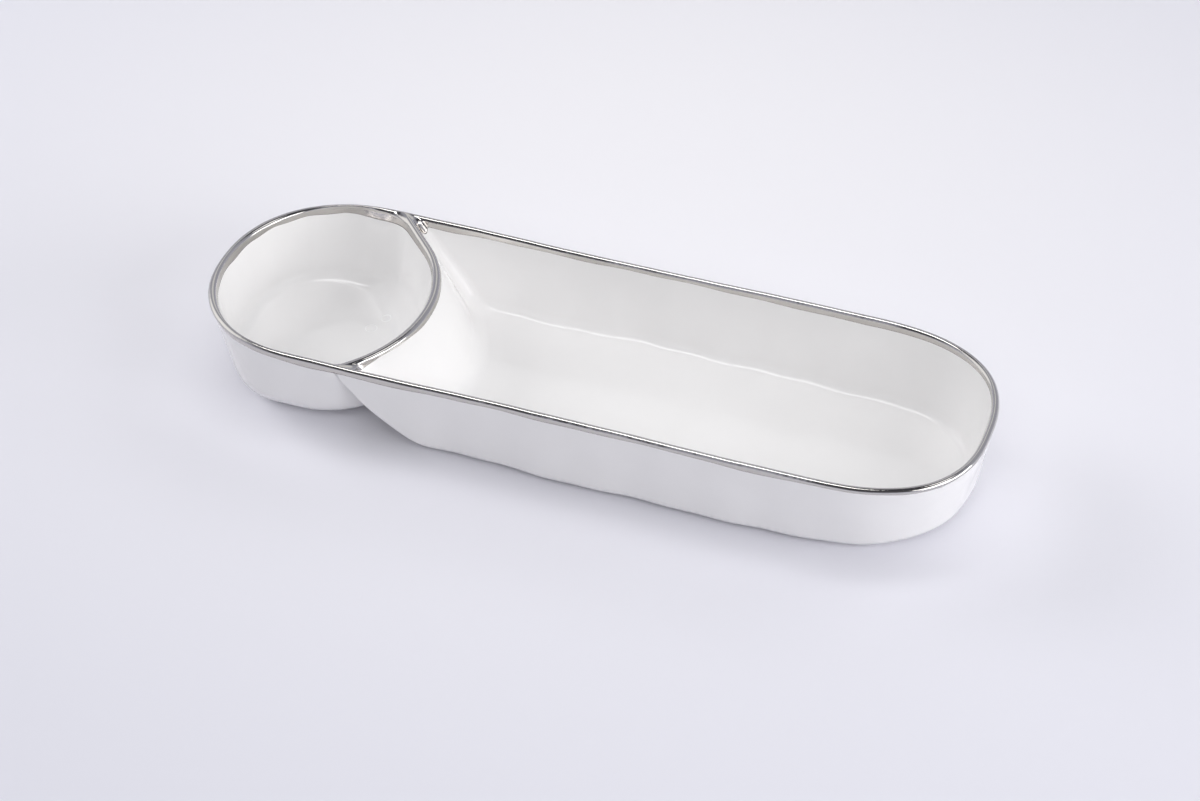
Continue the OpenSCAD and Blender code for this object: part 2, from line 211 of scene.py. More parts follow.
# Outline of the cup: sides inset by ins, its end by endIns, its divider side drawn back by off
def cupLoop(ins, endIns, off, cornerBack, cornerFront, squares):
    half, curveR = shellW/2 - ins, cup["dividerR"] - off
    rBack, rFront = fitted(cornerBack, half - cupY, curveR), fitted(cornerFront, half + cupY, curveR)
    back = turnEnd(cup["backTurn"], half - cupY, rBack, curveR - rBack)
    front = turnEnd(cup["frontTurn"], half + cupY, rFront, curveR - rFront)
    xBack = cornerX(half - cupY, rBack, curveR - rBack, back)
    xFront = cornerX(half + cupY, rFront, curveR - rFront, front)
    xEnd = min(xBack, xFront) - cup["run"]
    far = roundEnd(endIns - shellL/2, -1, [xEnd + shellL/2 - endIns]*2, half, squares, steps["cupEnd"])
    cove = arcPoints((xFront, rFront - half), rFront, -90, -front, steps["corner"])
    belly = arcPoints((cupX, cupY), curveR, -front, back, steps["arc"])
    nook = arcPoints((xBack, half - rBack), rBack, back, 90, steps["corner"])
    return np.concatenate([far, straightRun(far[-1], cove[0], steps["cupSide"]), cove,
                           straightRun(cove[-1], belly[0], steps["lead"]), belly,
                           straightRun(belly[-1], nook[0], steps["lead"]), nook,
                           straightRun(nook[-1], far[0], steps["cupSide"])])


def raised(loop, z):
    return np.column_stack([loop, np.full(len(loop), z)])


# How far a leaning wall with a rounded foot has moved in at height z
def movedIn(z, top, draft, low, r):
    rounding = r - math.sqrt(max(0.0, r*r - (low + r - z)**2)) if z < low + r else 0.0
    return max(0.0, top - z)*math.tan(math.radians(draft)) + rounding


def trayEnd(z):
    rise = share(z/lipZ)
    return mixPair(tray["baseSquare"], tray["square"], rise), mixPair(tray["baseEndL"], tray["endL"], rise)


def trayOutside(z, skin=0.0):
    depth = share((seamZ - z)/(seamZ - footZ))
    return raised(trayLoop(movedIn(z, lipZ, tray["draftOut"], footZ, tray["edgeR"]) - skin,
                           movedIn(z, seamZ, tray["bowDraftOut"], footZ, tray["bowEdgeR"]),
                           tray["bowCornerR"]*depth, *trayEnd(z)), z)


def trayInside(z, skin=0.0):
    depth = share((lipZ - z)/(lipZ - floorZ))
    loop = trayLoop(rim["thick"] + movedIn(z, lipZ, tray["draftIn"], floorZ, tray["floorR"]) + skin,
                    rim["divider"]/2 + movedIn(z, lipZ, tray["bowDraftIn"], floorZ, tray["bowFloorR"]) + skin,
                    mix(tray["cornerR"], tray["floorCornerR"], depth) - skin, *trayEnd(z))
    # the fingers that pressed the back wall down onto the floor left it wavy there
    wave = sum(a*np.sin(2*math.pi*loop[:, 0]/w + math.radians(p)) for w, a, p in tray["creaseWaves"])
    backwards = np.clip(2*loop[:, 1]/shellW, 0, 1)
    loop[:, 1] += wave*depth**tray["creaseFade"]*backwards**tray["creaseSide"]
    return raised(loop, z)


def cupOutside(z, skin=0.0):
    depth = share((seamZ - z)/(seamZ - footZ))
    ins = movedIn(z, lipZ, cup["draftOut"], footZ, cup["edgeR"]) - skin
    return raised(cupLoop(ins, ins, movedIn(z, seamZ, cup["backDraftOut"], footZ, cup["edgeR"]),
                          cup["baseCornerR"][0]*depth, cup["baseCornerR"][1]*depth,
                          mixPair(cup["baseSquare"], cup["square"], share(z/lipZ))), z)


def cupInside(z, skin=0.0):
    depth = share((lipZ - z)/(lipZ - cupFloorZ))
    side, end, back = (movedIn(z, lipZ, cup[draft], cupFloorZ, r) + skin
                       for draft, r in zip(("sideDraftIn", "draftIn", "backDraftIn"), cup["floorR"]))
    corners = [r - skin for r in mixPair(cup["cornerR"], cup["baseCornerR"], depth)]
    loop = cupLoop(rim["thick"] + side, rim["thick"] + end, rim["divider"]/2 + back, *corners,
                   mixPair(cup["lipSquare"], cup["floorSquare"], depth))
    return raised(loop - [0, cup["floorShift"]*depth], z)


# Rounded rim at an angle from its crest, outside and inside of it
def rimRise(angle, skin):
    return lipZ + (rim["thick"]/2 + skin)*math.cos(angle)


def rimInset(angle, skin, way):
    return rim["thick"]/2 + way*(rim["thick"]/2 + skin)*math.sin(angle)


def trayRimOut(angle, skin=0.0):
    return raised(trayLoop(rimInset(angle, skin, -1), 0, 0, *trayEnd(lipZ)), rimRise(angle, skin))


def cupRimOut(angle, skin=0.0):
    ins = rimInset(angle, skin, -1)
    return raised(cupLoop(ins, ins, 0, 0, 0, cup["square"]), rimRise(angle, skin))


def trayRimIn(angle, skin=0.0):
    reach = math.sin(angle)
    return raised(trayLoop(rimInset(angle, skin, 1), (rim["divider"]/2 + skin)*reach,
                           (tray["cornerR"] - skin)*reach, *trayEnd(lipZ)), rimRise(angle, skin))


def cupRimIn(angle, skin=0.0):
    reach, ins = math.sin(angle), rimInset(angle, skin, 1)
    corners = [(r - skin)*reach for r in cup["cornerR"]]
    return raised(cupLoop(ins, ins, (rim["divider"]/2 + skin)*reach, *corners,
                          mixPair(cup["square"], cup["lipSquare"], reach)), rimRise(angle, skin))


def middleOf(loop):
    return (loop.min(0) + loop.max(0))/2


# Faces between rows of equal length, each of them a closed loop
def skinFaces(rows, count, offset=0):
    faces = []
    for k in range(rows - 1):
        for i in range(count):
            a, b, j = offset + k*count, offset + (k + 1)*count, (i + 1) % count
            faces.append((a + i, b + i, b + j, a + j))
    return faces


def placed(name, data):
    thing = bpy.data.objects.new(name, data)
    bpy.context.scene.collection.objects.link(thing)
    return thing


# Merges doubles and turns the faces outwards
def clean(mesh):
    work = bmesh.new()
    work.from_mesh(mesh)
    bmesh.ops.remove_doubles(work, verts=work.verts, dist=steps["weld"]*mm)
    bmesh.ops.recalc_face_normals(work, faces=work.faces)
    work.to_mesh(mesh)
    work.free()


def addPiece(name, points, faces, attributes=()):
    mesh = bpy.data.meshes.new(name)
    mesh.from_pydata((np.asarray(points)*mm).tolist(), [], faces)
    for label, kind, values in attributes:
        layer = mesh.attributes.new(label, kind, "POINT")
        layer.data.foreach_set("vector" if kind == "FLOAT_VECTOR" else "value",
                               np.ravel(values).astype(np.float32))
    clean(mesh)
    return placed(name, mesh)


# Sum of sine waves along a run, from their lengths in mm, shares and phases in degrees
def waveSum(add, run, lengths, shares, phases):
    total = 0.0
    for length, part, phase in zip(lengths, shares, phases):
        angle = add("ShaderNodeMath", (run, 2*math.pi/length, math.radians(phase)), operation="MULTIPLY_ADD")
        wave = add("ShaderNodeMath", (angle,), operation="SINE")
        total = add("ShaderNodeMath", (wave, part, total), operation="MULTIPLY_ADD")
    return total


formedInputs = {"Waist": dish["waist"], "Swell": dish["swell"], "Unevenness": dish["uneven"],
                "Front lean": dish["frontLean"], "Dimple depth": dish["dimples"],
                "Dimple size": dish["dimpleSize"], "Rim ripple": dish["ripple"],
                "Ripple size": dish["rippleSize"]}


# Hand-formed rule: waist, swell, uneven walls, shallow dimples and a rippled rim
def handFormedTree():
    tree, given, result, add = newTree("handFormed", formedInputs)
    place = add("ShaderNodeVectorMath", {0: add("GeometryNodeInputPosition"), "Scale": 1/mm},
                operation="SCALE")
    x, y, z = add("ShaderNodeSeparateXYZ", (place,)).outputs
    across = add("ShaderNodeMath", (y, 2/shellW), operation="MULTIPLY")
    along = add("ShaderNodeMath", (x, 2/shellL), operation="MULTIPLY")
    soft = add("ShaderNodeMath", (z, (dish["rimShare"] - 1)/dish["height"], 1.0), operation="MULTIPLY_ADD")

    # waist and swell, as a share of the width
    turn = add("ShaderNodeMath", (x, 4*math.pi/shellL), operation="MULTIPLY")
    hollow = add("ShaderNodeMath", (add("ShaderNodeMath", (turn,), operation="COSINE"), 0.5, 0.5),
                 operation="MULTIPLY_ADD")
    towards = add("ShaderNodeClamp", (add("ShaderNodeMath", (x, 4/shellL), operation="MULTIPLY"), -1.0, 1.0))
    swelling = add("ShaderNodeMath", (towards, -0.5, 0.5), operation="MULTIPLY_ADD")
    swollen = add("ShaderNodeMath", (swelling, given.outputs["Swell"]), operation="MULTIPLY")
    drawnIn = add("ShaderNodeMath", (hollow, given.outputs["Waist"]), operation="MULTIPLY")
    gain = add("ShaderNodeMath", (swollen, drawnIn), operation="SUBTRACT")

    # uneven walls, each with its own waves
    walls = {}
    for side, run in (("back", x), ("front", x), ("end", y)):
        waves = waveSum(add, run, dish["waveLengths"], dish["waveShares"], dish[side + "Phase"])
        walls[side] = add("ShaderNodeMath", (waves, given.outputs["Unevenness"]), operation="MULTIPLY")
    leaning = add("ShaderNodeMath", (walls["front"], given.outputs["Front lean"]), operation="SUBTRACT")
    towardsBack = add("ShaderNodeMath", (across, 0.5, 0.5), operation="MULTIPLY_ADD")
    wall = add("ShaderNodeMix", {0: towardsBack, 2: leaning, 3: walls["back"]}, clamp_factor=False)
    softAcross = add("ShaderNodeMath", (soft, across), operation="MULTIPLY")
    widened = add("ShaderNodeMath", (across, gain), operation="MULTIPLY")
    sideways = add("ShaderNodeMath", (softAcross, wall, widened), operation="MULTIPLY_ADD")
    squared = add("ShaderNodeMath", (along, along), operation="MULTIPLY")
    cubed = add("ShaderNodeMath", (along, squared), operation="MULTIPLY")
    softCubed = add("ShaderNodeMath", (soft, cubed), operation="MULTIPLY")
    endways = add("ShaderNodeMath", (softCubed, walls["end"]), operation="MULTIPLY")

    # dimples left by the fingers, none on the flat underside and few at the rim, which has its own ripple
    offFoot = add("ShaderNodeMapRange", {0: z, 1: footZ, 2: footZ + dish["offFoot"], 3: 0.0, 4: 1.0})
    offRim = add("ShaderNodeMapRange", {0: z, 1: seamZ - dish["offRim"], 2: lipZ,
                                        3: 1.0, 4: dish["rimDimples"]})
    atRim = add("ShaderNodeMapRange", {0: z, 1: seamZ - dish["rippleFade"], 2: lipZ, 3: 0.0, 4: 1.0})
    onWalls = add("ShaderNodeMath", (offFoot, offRim), operation="MULTIPLY")
    moved = add("ShaderNodeCombineXYZ", (endways, sideways))
    for depth, size, where, middle in (("Dimple depth", "Dimple size", onWalls, dish["dimpleMiddle"]),
                                       ("Rim ripple", "Ripple size", atRim, dish["rippleMiddle"])):
        finer = add("ShaderNodeMath", (1.0, given.outputs[size]), operation="DIVIDE")
        spread = add("ShaderNodeVectorMath", {0: place, "Scale": finer}, operation="SCALE")
        noise = add("ShaderNodeTexNoise", {"Vector": spread, "Scale": 1.0, "Detail": 1.0, "Roughness": 0.4})
        centred = add("ShaderNodeVectorMath", (noise.outputs["Color"], middle), operation="SUBTRACT")
        masked = add("ShaderNodeMath", (where, given.outputs[depth]), operation="MULTIPLY")
        moved = add("ShaderNodeVectorMath", {0: centred, 1: masked, 2: moved}, operation="MULTIPLY_ADD")
    offset = add("ShaderNodeVectorMath", {0: moved, "Scale": mm}, operation="SCALE")
    shaped = add("GeometryNodeSetPosition", {"Geometry": given.outputs["Geometry"], "Offset": offset})
    return endTree(tree, given, result, shaped)


handFormed = handFormedTree()
print("hand-formed rule ready")


# A material, the function that fills its shader's inputs and the one that adds its nodes
def newMaterial(name):
    material = bpy.data.materials.new(name)
    material.use_nodes = True
    tree = material.node_tree
    return material, partial(feed, tree, tree.nodes["Principled BSDF"]), partial(addNode, tree)


# Clear glaze over white porcelain, dipped and fired: bright mirror gloss, a faint orange peel,
# milky cloudiness in the body, a rare grey speck from the kiln and two lighter rings with raised edges on the
# cup's floor
glaze = dict(body="#f6f5f5", cloud="#f1f0f0", cloudSize=22, peel=0.02, peelSize=3.2, roughness=0.07, ior=1.5,
             speck="#b9b6b2", speckGap=19, speckEdge=(0.010, 0.022), speckFew=0.9,
             ring="#ffffff", rings=((-95.7, 9.9, 2.3), (-92.8, 17.7, 2.0)), ringWidth=0.5, ringRise=0.12)


def glazedPorcelain():
    material, coat, add = newMaterial("glazedPorcelain")
    place = add("ShaderNodeTexCoord").outputs["Object"]
    cloud = add("ShaderNodeTexNoise", {"Vector": place, "Scale": 1/(glaze["cloudSize"]*mm), "Detail": 2.0})
    tone = add("ShaderNodeMix", {0: cloud.outputs["Fac"], 6: linear(glaze["body"]),
                                 7: linear(glaze["cloud"])}, data_type="RGBA")
    cells = add("ShaderNodeTexVoronoi", {"Vector": place, "Scale": 1/(glaze["speckGap"]*mm)})
    near = add("ShaderNodeMapRange", {0: cells.outputs["Distance"], 1: glaze["speckEdge"][0],
                                      2: glaze["speckEdge"][1], 3: 1.0, 4: 0.0})
    drawn = add("ShaderNodeSeparateColor", (cells.outputs["Color"],))
    few = add("ShaderNodeMath", (drawn, glaze["speckFew"]), operation="GREATER_THAN")
    specked = add("ShaderNodeMath", (near, few), operation="MULTIPLY")
    colour = add("ShaderNodeMix", {0: specked, 6: tone.outputs[2], 7: linear(glaze["speck"])},
                 data_type="RGBA")
    peel = add("ShaderNodeTexNoise", {"Vector": place, "Scale": 1/(glaze["peelSize"]*mm), "Detail": 1.0})
    bump = add("ShaderNodeBump", {"Strength": glaze["peel"], "Distance": mm, "Height": peel.outputs["Fac"]})

    # rings on the cup's floor only, not on the underside below it
    flat = add("ShaderNodeVectorMath", (place, (1.0, 1.0, 0.0)), operation="MULTIPLY")
    height = add("ShaderNodeSeparateXYZ", (place,)).outputs["Z"]
    inside = add("ShaderNodeMath", (height, floorZ*mm), operation="GREATER_THAN")
    ridge = 0.0
    for x, y, radius in glaze["rings"]:
        off = add("ShaderNodeVectorMath", (flat, (x*mm, y*mm, 0.0)), operation="DISTANCE").outputs["Value"]
        past = add("ShaderNodeMath", (off, radius*mm), operation="SUBTRACT")
        away = add("ShaderNodeMath", (past,), operation="ABSOLUTE")
        ring = add("ShaderNodeMapRange", {0: away, 1: 0.0, 2: glaze["ringWidth"]*mm, 3: 1.0, 4: 0.0},
                   interpolation_type="SMOOTHSTEP")
        ridge = add("ShaderNodeMath", (ring, ridge), operation="MAXIMUM")
    ridge = add("ShaderNodeMath", (ridge, inside), operation="MULTIPLY")
    colour = add("ShaderNodeMix", {0: ridge, 6: colour.outputs[2], 7: linear(glaze["ring"])},
                 data_type="RGBA")
    bump = add("ShaderNodeBump", {"Strength": 1.0, "Distance": glaze["ringRise"]*mm, "Height": ridge,
                                  "Normal": bump})
    coat({"Base Color": colour.outputs[2], "Normal": bump, "Roughness": glaze["roughness"],
          "IOR": glaze["ior"]})
    return material


# Platinum lustre, brushed on over the glaze and fired: a warm mirror,
# thinner and duller towards its brushed edge
platinum = dict(film="#c9c6c3", thin="#c0bab3", roughness=0.1, edgeRoughness=0.2, wornFully=0.7,
                strokeSize=9, rippleSize=5, ripple=0.1)


def platinumLustre():
    material, coat, add = newMaterial("platinumLustre")
    place = add("ShaderNodeTexCoord").outputs["Object"]
    edge = add("ShaderNodeAttribute", attribute_name="brushEdge").outputs["Fac"]
    stroke = add("ShaderNodeTexNoise", {"Vector": place, "Scale": 1/(platinum["strokeSize"]*mm),
                                        "Detail": 2.0})
    worn = add("ShaderNodeMath", (edge, stroke.outputs["Fac"]), operation="MULTIPLY")
    colour = add("ShaderNodeMix", {0: worn, 6: linear(platinum["film"]), 7: linear(platinum["thin"])},
                 data_type="RGBA")
    rough = add("ShaderNodeMapRange", {0: worn, 1: 0.0, 2: platinum["wornFully"],
                                       3: platinum["roughness"], 4: platinum["edgeRoughness"]})
    ripple = add("ShaderNodeTexNoise", {"Vector": place, "Scale": 1/(platinum["rippleSize"]*mm),
                                        "Detail": 2.0})
    bump = add("ShaderNodeBump", {"Strength": platinum["ripple"], "Distance": mm,
                                  "Height": ripple.outputs["Fac"]})
    coat({"Base Color": colour.outputs[2], "Roughness": rough, "Normal": bump, "Metallic": 1.0})
    return material


# Bare biscuit porcelain, wiped clean of glaze before firing: dry, gritty, greyed where it rubs the table
bare = dict(clean="#e6dfd3", rubbed="#c9c0b2", rubHeight=0.6, rubLeast=0.15, stainSize=8,
            gritSize=0.7, grit=0.35, gritRise=0.2, roughness=0.88)


def bareBisque():
    material, coat, add = newMaterial("bareBisque")
    place = add("ShaderNodeTexCoord").outputs["Object"]
    height = add("ShaderNodeSeparateXYZ", (place,)).outputs["Z"]
    low = add("ShaderNodeMapRange", {0: height, 1: 0.0, 2: bare["rubHeight"]*mm, 3: 1.0, 4: bare["rubLeast"]})
    stain = add("ShaderNodeTexNoise", {"Vector": place, "Scale": 1/(bare["stainSize"]*mm), "Detail": 3.0})
    rubbed = add("ShaderNodeMath", (low, stain.outputs["Fac"]), operation="MULTIPLY")
    colour = add("ShaderNodeMix", {0: rubbed, 6: linear(bare["clean"]), 7: linear(bare["rubbed"])},
                 data_type="RGBA")
    grit = add("ShaderNodeTexNoise", {"Vector": place, "Scale": 1/(bare["gritSize"]*mm), "Detail": 2.0})
    bump = add("ShaderNodeBump", {"Strength": bare["grit"], "Distance": bare["gritRise"]*mm,
                                  "Height": grit.outputs["Fac"]})
    coat({"Base Color": colour.outputs[2], "Normal": bump, "Roughness": bare["roughness"]})
    return material


porcelainGlaze, lustreFilm, bisque = glazedPorcelain(), platinumLustre(), bareBisque()
print("materials ready")


# A vessel: loops from its underside up over the rim and down to its floor
def vessel(name, outside, rimOut, rimIn, inside, low):
    rolls = np.linspace(0, math.pi/2, steps["roll"] + 1)
    outer = [mix(footZ, seamZ, (i/steps["wall"])**steps["outerBunch"]) for i in range(steps["wall"])]
    lips = [mix(seamZ, lipZ, i/steps["lip"]) for i in range(steps["lip"])]
    inner = [mix(low, seamZ, (i/steps["wall"])**steps["innerBunch"]) for i in range(steps["wall"])]
    rows = [outside(z) for z in outer + lips]
    rows += [rimOut(a) for a in rolls[::-1]] + [rimIn(a) for a in rolls[1:]]
    rows += [inside(z) for z in (lips + [lipZ])[-2::-1]] + [inside(z) for z in inner[::-1]]
    under, bottom = middleOf(rows[0]), middleOf(rows[-1])
    shrink = [1 - (k + 1)/(steps["base"] + 1) for k in range(steps["base"])]
    rows = [mix(under, rows[0], s) for s in shrink[::-1]] + rows + [mix(bottom, rows[-1], s) for s in shrink]
    count = len(rows[0])
    points = np.concatenate(rows + [under[None], bottom[None]])
    last, centre = (len(rows) - 1)*count, len(rows)*count
    faces = skinFaces(len(rows), count)
    faces += [(centre, i, (i + 1) % count) for i in range(count)]
    faces += [(centre + 1, last + (i + 1) % count, last + i) for i in range(count)]
    return applyTree(addPiece(name, points, faces), handFormed, {**formedInputs, "Material": porcelainGlaze})


trayShell = vessel("tray_shell", trayOutside, trayRimOut, trayRimIn, trayInside, floorZ)
cupShell = vessel("cup_shell", cupOutside, cupRimOut, cupRimIn, cupInside, cupFloorZ)
print("vessels:", len(trayShell.data.polygons), len(cupShell.data.polygons), "faces")


# Lustre: three strips that share the crest, brushed down to an uneven edge
lustre = dict(skin=0.13, edgeSkin=0.03, bite=0.06, rows=7,
              cupReach=2.1, trayReach=0.5, dividerReach=0.9, cornerDip=2.2,
              wander=0.3, brushLengths=(71, 29), brushShares=(0.65, 0.35), brushPhase=(100, 75), brushRun=1.7,
              fringe=0.18, fringeSize=6.0,
              # places where the brush came lower or stopped short: x, y, spread and depth
              rimBlots=((139.7, -32.1, 2.2, 1.0), (76.7, -48, 10, 0.7),
                        (-94, -48, 9, 1.1), (-122, -45, 8, -0.5)),
              trayBlots=((100, 46, 42, 1.1), (-5, 46, 24, -0.5), (-70, -35, 13, -0.7)),
              cupBlots=((-107, 45, 14, 1.2), (-135, 34, 10, -0.8)))
lustreLayers = dict(slip="FLOAT_VECTOR", brushEdge="FLOAT", divider="FLOAT", dip="FLOAT")
brushInputs = {"Cup reach": lustre["cupReach"], "Tray reach": lustre["trayReach"],
               "Divider reach": lustre["dividerReach"], "Wander": lustre["wander"],
               "Fringe": lustre["fringe"], "Fringe size": lustre["fringeSize"], **formedInputs}


def brushedLustreTree():
    tree, given, result, add = newTree("brushedLustre", brushInputs)
    slip, edge, divider, dip = [
        add("GeometryNodeInputNamedAttribute", {"Name": label}, data_type=kind).outputs["Attribute"]
        for label, kind in lustreLayers.items()]
    place = add("ShaderNodeVectorMath", {0: add("GeometryNodeInputPosition"), "Scale": 1/mm},
                operation="SCALE")
    x, y = add("ShaderNodeSeparateXYZ", (place,)).outputs[:2]
    along = add("ShaderNodeMath", (x, 1/shellL, 0.5), operation="MULTIPLY_ADD")
    reach = add("ShaderNodeMix", {0: along, 2: given.outputs["Cup reach"], 3: given.outputs["Tray reach"]})
    reach = add("ShaderNodeMix", {0: divider, 2: reach, 3: given.outputs["Divider reach"]})
    run = add("ShaderNodeMath", (y, lustre["brushRun"], x), operation="MULTIPLY_ADD")
    sway = waveSum(add, run, lustre["brushLengths"], lustre["brushShares"], lustre["brushPhase"])
    wander = add("ShaderNodeMath", (sway, given.outputs["Wander"], 1.0), operation="MULTIPLY_ADD")
    finer = add("ShaderNodeMath", (1.0, given.outputs["Fringe size"]), operation="DIVIDE")
    spread = add("ShaderNodeVectorMath", {0: place, "Scale": finer}, operation="SCALE")
    noise = add("ShaderNodeTexNoise", {"Vector": spread, "Scale": 1.0, "Detail": 2.0})
    fringe = add("ShaderNodeMath", (noise.outputs["Fac"], 0.5), operation="SUBTRACT")
    fringe = add("ShaderNodeMath", (fringe, given.outputs["Fringe"], dip), operation="MULTIPLY_ADD")
    depth = add("ShaderNodeMath", (reach, wander, fringe), operation="MULTIPLY_ADD")
    slide = add("ShaderNodeMath", (add("ShaderNodeMath", (depth, edge), operation="MULTIPLY"), 1/lipH),
                operation="MULTIPLY")
    offset = add("ShaderNodeVectorMath", {0: slip, "Scale": slide}, operation="SCALE")
    brushed = add("GeometryNodeSetPosition", {"Geometry": given.outputs["Geometry"], "Offset": offset})
    passedOn = {name: given.outputs[name] for name in [*formedInputs, "Material"]}
    formed = add("GeometryNodeGroup", {"Geometry": brushed, **passedOn}, node_tree=handFormed)
    feed(tree, result, (formed,))
    return tree


# The part of a loop on the outer rim, from its front corner round the end to its back one
def onRim(loop, end, side):
    return np.concatenate([loop[-side:], loop[:end + side + 1]])


def rimLoop(trayPart, cupPart):
    return np.concatenate([onRim(trayPart, steps["end"], steps["side"]),
                           onRim(cupPart, steps["cupEnd"], steps["cupSide"])])


def rimRolled(angle, skin):
    return rimLoop(trayRimOut(angle, skin), cupRimOut(angle, skin))


def rimWall(z, skin):
    return rimLoop(trayOutside(z, skin), cupOutside(z, skin))


# How much lower the film's edge comes at each point of a loop
def blotted(loop, blots):
    return sum(depth*np.exp(-((loop[:, 0] - x)**2 + (loop[:, 1] - y)**2)/spread**2)
               for x, y, spread, depth in blots)


def rimLustre():
    rolls = np.linspace(0, math.pi/2, steps["roll"] + 1)
    downs = np.linspace(0, 1, lustre["rows"] + 1)[1:]
    bite = steps["end"] + steps["side"] + steps["corner"]
    order = np.arange(len(trayRimIn(0.0)))
    onDivider = np.sqrt(np.sin(math.pi*np.clip((order - bite)/(steps["arc"] + 2*steps["lead"]), 0, 1)))
    inNook = np.sin(math.pi*np.clip((order - bite + steps["corner"])/steps["corner"], 0, 1))**2

    # each strip: its rolled rim, its wall, its share of the divider's reach, its dip and its blots
    strips = [(rimRolled, rimWall, 0.0, 0.0, "rimBlots"),
              (trayRimIn, trayInside, onDivider, lustre["cornerDip"]*inNook, "trayBlots"),
              (cupRimIn, cupInside, 0.0, 0.0, "cupBlots")]
    points, faces, layers = [], [], {label: [] for label in lustreLayers}
    for rolled, wall, dividerShare, cornerDip, blots in strips:
        lower = cornerDip + blotted(rolled(math.pi/2, 0.0), lustre[blots])
        rows = []   # loop, its slide to the seam, share of the reach
        for free in (True, False):
            part = [(rolled(a, lustre["skin"] if free else -lustre["bite"]), 0.0, 0.0) for a in rolls]
            for v in downs:
                skin = mix(lustre["skin"], lustre["edgeSkin"], v) if free else -lustre["bite"]
                top = rolled(math.pi/2, skin)
                part.append((top, wall(seamZ, skin) - top, v))
            rows += part if free else part[::-1]
        count = len(rows[0][0])
        faces += skinFaces(len(rows), count, sum(len(p) for p in points))
        for loop, slide, v in rows:
            points.append(loop)
            layers["slip"].append(np.zeros((count, 3)) + slide*mm)
            layers["brushEdge"].append(np.full(count, v))
            layers["divider"].append(np.zeros(count) + dividerShare)
            layers["dip"].append(lower)
    piece = addPiece("rim_lustre", np.concatenate(points), faces,
                     [(label, kind, np.concatenate(layers[label])) for label, kind in lustreLayers.items()])
    applyTree(piece, brushedLustreTree(), {**brushInputs, "Material": lustreFilm})
    for label in ("slip", "divider", "dip"):
        piece.data.attributes.remove(piece.data.attributes[label])
    return piece


rimPiece = rimLustre()
print("lustre:", len(rimPiece.data.polygons), "faces")


# Foot rings: a rounded strip of bare clay along a path under each vessel
feet = dict(width=3.0, height=floor["footHeight"], edgeRound=0.45, edgeSteps=5, pathSteps=48, leastStep=0.05)


def footRingTree():
    tree, given, result, add = newTree("footRing", ("Width", "Height", "Edge round"))
    line = add("GeometryNodeMeshToCurve", {"Mesh": given.outputs["Geometry"]})
    path = add("GeometryNodeSetCurveNormal", {"Curve": line}, mode="Z_UP")
    profile = add("GeometryNodeCurvePrimitiveQuadrilateral",
                  {"Width": given.outputs["Width"], "Height": given.outputs["Height"]})
    eased = add("GeometryNodeFilletCurve",
                {"Curve": profile, "Count": feet["edgeSteps"], "Radius": given.outputs["Edge round"]},
                mode="POLY")
    ring = add("GeometryNodeCurveToMesh", {"Curve": path, "Profile Curve": eased})
    return endTree(tree, given, result, ring)


footRing = footRingTree()


def footPiece(name, node):
    low, high = (np.array(corner)/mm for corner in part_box(node))
    half, y = (high[1] - low[1])/2, (high[1] + low[1])/2
    r = half - feet["width"]/2
    path = np.concatenate([arcPoints((high[0] - half, y), r, -90, 90, feet["pathSteps"]),
                           arcPoints((low[0] + half, y), r, 90, 270, feet["pathSteps"])])
    keep = np.linalg.norm(path - np.roll(path, 1, 0), axis=1) > feet["leastStep"]
    path = raised(path[keep], feet["height"]/2)
    mesh = bpy.data.meshes.new(name)
    mesh.from_pydata((path*mm).tolist(), [(i, (i + 1) % len(path)) for i in range(len(path))], [])
    piece = placed(name, mesh)
    applyTree(piece, footRing, {"Width": feet["width"]*mm, "Height": feet["height"]*mm,
                                "Edge round": feet["edgeRound"]*mm, "Material": bisque})
    clean(piece.data)
    return piece


trayFoot = footPiece("tray_foot", "tray_foot_ring")
cupFoot = footPiece("cup_foot", "cup_foot_ring")
print("foot rings:", len(trayFoot.data.polygons), len(cupFoot.data.polygons), "faces")


for piece, nodes, slotName in (
        (trayShell, ("olive_tray",), "glaze"), (cupShell, ("pit_cup",), "glaze"),
        (trayFoot, ("tray_foot_ring",), "bisque"), (cupFoot, ("cup_foot_ring",), "bisque"),
        (rimPiece, ("rim_band", "tray_lip_band", "cup_lip_band"), "lustre")):
    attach(piece, "root")
    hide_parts(*nodes)


# The table's colour paints a pool of light: pale round a spot behind the dish and fading to a dimmer colour
# away from it
table = dict(size=14.0, pale="#f7f6fb", paintedFalloff="#e3e3ed", centre=(-0.048, 0.176, 0.0), spread=(0.0, 0.5),
             roughness=0.9, gloss=0.1)


def tableWithPaintedLightPool():
    material, coat, add = newMaterial("mattBoardWithPaintedLightPool")   # even, soft, without gloss
    place = add("ShaderNodeTexCoord").outputs["Object"]
    # painted light falloff: the board is painted brighter near the centre and dimmer with distance from it
    away = add("ShaderNodeVectorMath", (place, table["centre"]), operation="DISTANCE").outputs["Value"]
    lightPoolFalloff = add("ShaderNodeMapRange", {0: away, 1: table["spread"][0], 2: table["spread"][1], 3: 0.0, 4: 1.0},
                interpolation_type="SMOOTHSTEP")
    colour = add("ShaderNodeMix", {0: lightPoolFalloff, 6: linear(table["pale"]), 7: linear(table["paintedFalloff"])},
                 data_type="RGBA")
    coat({"Base Color": colour.outputs[2], "Roughness": table["roughness"],
          "Specular IOR Level": table["gloss"]})
    half = table["size"]/2
    corners = [(-half, -half, 0), (half, -half, 0), (half, half, 0), (-half, half, 0)]
    mesh = bpy.data.meshes.new("table")
    mesh.from_pydata(corners, [], [(0, 1, 2, 3)])
    mesh.materials.append(material)
    board = placed("table", mesh)


tableWithPaintedLightPool()

